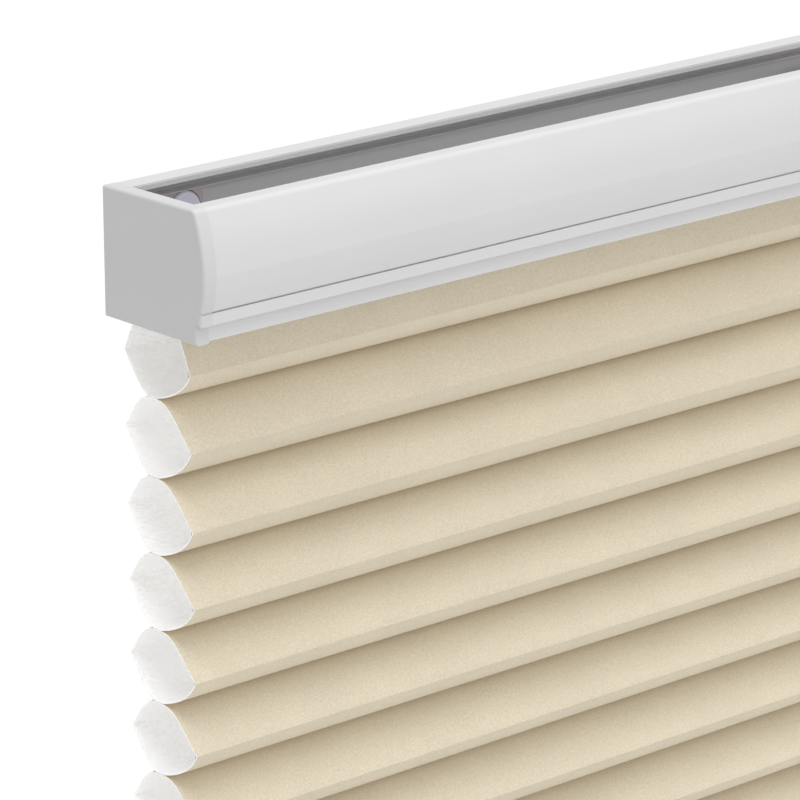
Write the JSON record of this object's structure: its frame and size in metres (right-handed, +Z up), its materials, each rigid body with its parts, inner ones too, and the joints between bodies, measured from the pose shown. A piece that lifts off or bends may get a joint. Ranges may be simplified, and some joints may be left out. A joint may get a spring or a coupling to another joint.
{
  "type": "pleated blind",
  "caption": "Cordless honeycomb pleated blind: open-top headrail with spring unit and end caps, beige cellular fabric, inner lift cords and a bottom rail that slides up and down.",
  "frame": {"origin": "rear face of the headrail's end caps, at the top edge and the middle of the width", "axes": "+X along the width, the room side faces -Y, +Z up"},
  "size_m": [0.6, 0.0404, 0.852],
  "materials": {
    "white_paint": "satin white powder coat",
    "white_moulding": "satin white moulded plastic",
    "strip_plastic": "matt extruded plastic",
    "cloth": "beige non-woven outside, white inside",
    "grey_moulding": "matt mauve-grey moulding",
    "wheel_nylon": "smooth lilac-white nylon",
    "steel": "bright",
    "cord_braid": "fine white braid"
  },
  "bodies": {
    "headrail": {"headrail": "white_paint", "end_cap_left": "white_moulding", "end_cap_right": "white_moulding", "top_carrier_strip": "strip_plastic", "honeycomb_fabric": "cloth", "cord_guide_left": "grey_moulding", "cord_guide_right": "grey_moulding", "wheel_pin_left": "steel", "wheel_pin_right": "steel", "rear_plate_left": "grey_moulding", "rear_plate_right": "grey_moulding", "plate_button_left": "wheel_nylon", "plate_button_right": "wheel_nylon", "spring_unit_base": "grey_moulding", "spring_unit_cover": "grey_moulding", "cover_screws": "steel", "spring_band": "steel", "lift_cord_left": "cord_braid", "lift_cord_right": "cord_braid"},
    "bottom_rail": {"bottom_rail": "white_paint", "bottom_rail_cap_left": "white_moulding", "bottom_rail_cap_right": "white_moulding", "bottom_carrier_strip": "strip_plastic", "cord_anchor_left": "white_moulding", "cord_anchor_right": "white_moulding"},
    "wheel_left": {"guide_wheel_left": "wheel_nylon"},
    "wheel_right": {"guide_wheel_right": "wheel_nylon"},
    "storage_drum": {"storage_drum": "wheel_nylon"},
    "output_drum": {"output_drum": "wheel_nylon"},
    "spool_left": {"cord_spool_left": "wheel_nylon"},
    "spool_right": {"cord_spool_right": "wheel_nylon"}
  },
  "joints": [
    {"name": "bottom_rail_lift", "type": "slide", "parent": "headrail", "child": "bottom_rail", "axis": [0, 0, 1], "range_m": [0, 0.6854], "deforming": ["honeycomb_fabric", "lift_cord_left", "lift_cord_right"]},
    {"name": "wheel_left_spin", "type": "hinge", "parent": "headrail", "child": "wheel_left", "pos_m": [-0.285, -0.013, -0.0122], "axis": [0, 1, 0], "continuous": true},
    {"name": "wheel_right_spin", "type": "hinge", "parent": "headrail", "child": "wheel_right", "pos_m": [0.285, -0.013, -0.0122], "axis": [0, 1, 0], "continuous": true},
    {"name": "storage_drum_spin", "type": "hinge", "parent": "headrail", "child": "storage_drum", "pos_m": [-0.0345, -0.018, -0.018], "axis": [0, 0, 1], "continuous": true},
    {"name": "output_drum_spin", "type": "hinge", "parent": "headrail", "child": "output_drum", "pos_m": [-0.0115, -0.018, -0.018], "axis": [0, 0, 1], "continuous": true},
    {"name": "spool_left_spin", "type": "hinge", "parent": "headrail", "child": "spool_left", "pos_m": [0.0115, -0.018, -0.018], "axis": [0, 0, 1], "continuous": true},
    {"name": "spool_right_spin", "type": "hinge", "parent": "headrail", "child": "spool_right", "pos_m": [0.0345, -0.018, -0.018], "axis": [0, 0, 1], "continuous": true}
  ],
  "couplings": [
    {"joint": "wheel_left_spin", "follows": "bottom_rail_lift", "rad_per_m": -312.5},
    {"joint": "wheel_right_spin", "follows": "bottom_rail_lift", "rad_per_m": 312.5},
    {"joint": "spool_left_spin", "follows": "bottom_rail_lift", "rad_per_m": -227.27},
    {"joint": "spool_right_spin", "follows": "bottom_rail_lift", "rad_per_m": 227.27},
    {"joint": "output_drum_spin", "follows": "bottom_rail_lift", "rad_per_m": 227.27},
    {"joint": "storage_drum_spin", "follows": "bottom_rail_lift", "rad_per_m": 227.27}
  ]
}
